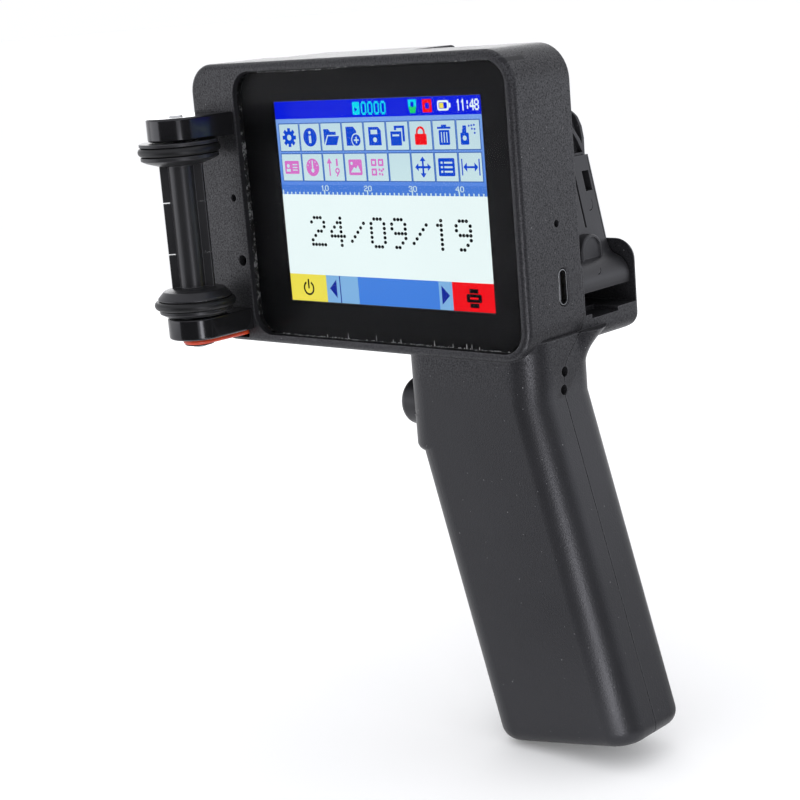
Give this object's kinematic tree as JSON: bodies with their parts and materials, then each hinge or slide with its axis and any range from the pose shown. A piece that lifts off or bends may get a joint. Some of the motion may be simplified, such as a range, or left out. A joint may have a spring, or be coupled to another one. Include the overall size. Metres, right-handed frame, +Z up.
{
  "type": "handheld date code inkjet printer",
  "caption": "Pistol-grip inkjet coder: touch-screen head, guide roller on side arms turning an encoder by belt, open cartridge bay with hinged latch, and leaning battery grip with push trigger.",
  "frame": {"origin": "centre of the bounding box in X and Y, at its lowest point, the low corner of the grip's base", "axes": "+X to the right along the screen, away from the print face; +Y through the housing away from the screen and the operator; +Z up along the head"},
  "size_m": [0.1354, 0.0724, 0.1757],
  "materials": {
    "housing_plastic": "finely textured moulding",
    "satin_plastic": "satin moulding",
    "gloss_plastic": "polished",
    "cover_glass": "polished cover glass",
    "display": "lit picture under a polariser",
    "black_rubber": "dull",
    "red_rubber": "satin polyurethane",
    "steel": "plated",
    "dark_steel": "darkened",
    "circuit_board": "solder resist",
    "cell_wrap": "plastic wrap on a metal can",
    "clear_disc": "clear film with fine marks"
  },
  "bodies": {
    "housing": {"front_shell": "housing_plastic", "rear_shell": "housing_plastic", "touch_glass": "cover_glass", "lcd_module": "display", "main_board": "circuit_board", "usb_port": "steel", "reset_switch": "dark_steel", "buzzer": "gloss_plastic", "battery_cell_1": "cell_wrap", "battery_cell_2": "cell_wrap", "trigger_spring": "steel", "trigger_switch": "gloss_plastic", "latch_pin": "steel", "latch_spring": "steel", "nozzle_plate": "dark_steel", "nozzle_screw_1": "steel", "nozzle_screw_2": "steel", "contact_board": "circuit_board", "contact_pad": "gloss_plastic", "guide_rail_top": "satin_plastic", "guide_rail_bottom": "satin_plastic", "upper_arm": "gloss_plastic", "lower_arm": "gloss_plastic", "upper_bearing": "steel", "lower_bearing": "steel", "arm_screw_1": "steel", "arm_screw_2": "steel", "arm_screw_3": "steel", "arm_screw_4": "steel", "drive_belt": "red_rubber", "encoder_bracket": "satin_plastic", "encoder_sensor": "gloss_plastic", "head_screw_1": "steel", "head_screw_2": "steel", "head_screw_3": "steel", "head_screw_4": "steel", "grip_screw_1": "steel", "grip_screw_2": "steel"},
    "roller": {"roller_core": "satin_plastic", "upper_tyre": "black_rubber", "lower_tyre": "black_rubber", "roller_shaft": "steel", "drive_pulley": "satin_plastic"},
    "encoder": {"encoder_pulley": "satin_plastic", "encoder_shaft": "steel", "encoder_disc": "clear_disc"},
    "latch": {"cartridge_latch": "housing_plastic"},
    "trigger": {"trigger_button": "satin_plastic"},
    "reset": {"reset_button": "gloss_plastic"}
  },
  "joints": [
    {"name": "roller_spin", "type": "hinge", "parent": "housing", "child": "roller", "pos_m": [-0.05669, -0.02525, 0.1341], "axis": [0, 0, 1], "continuous": true},
    {"name": "encoder_spin", "type": "hinge", "parent": "housing", "child": "encoder", "pos_m": [-0.05469, 0.00075, 0.1087], "axis": [0, 0, 1], "continuous": true},
    {"name": "latch_hinge", "type": "hinge", "parent": "housing", "child": "latch", "pos_m": [0.03991, 0.0233, 0.11712], "axis": [0, 1, 0], "range_deg": [0, 95]},
    {"name": "trigger_press", "type": "slide", "parent": "housing", "child": "trigger", "axis": [1, 0, 0], "range_m": [0, 0.003], "stiffness_N_per_m": 600, "springref_m": -0.002, "deforming": ["trigger_spring"]},
    {"name": "reset_press", "type": "slide", "parent": "housing", "child": "reset", "axis": [-1, 0, 0], "range_m": [0, 0.0003], "stiffness_N_per_m": 1000, "springref_m": -0.0002}
  ],
  "couplings": [
    {"joint": "encoder_spin", "follows": "roller_spin", "ratio": 1.25}
  ]
}
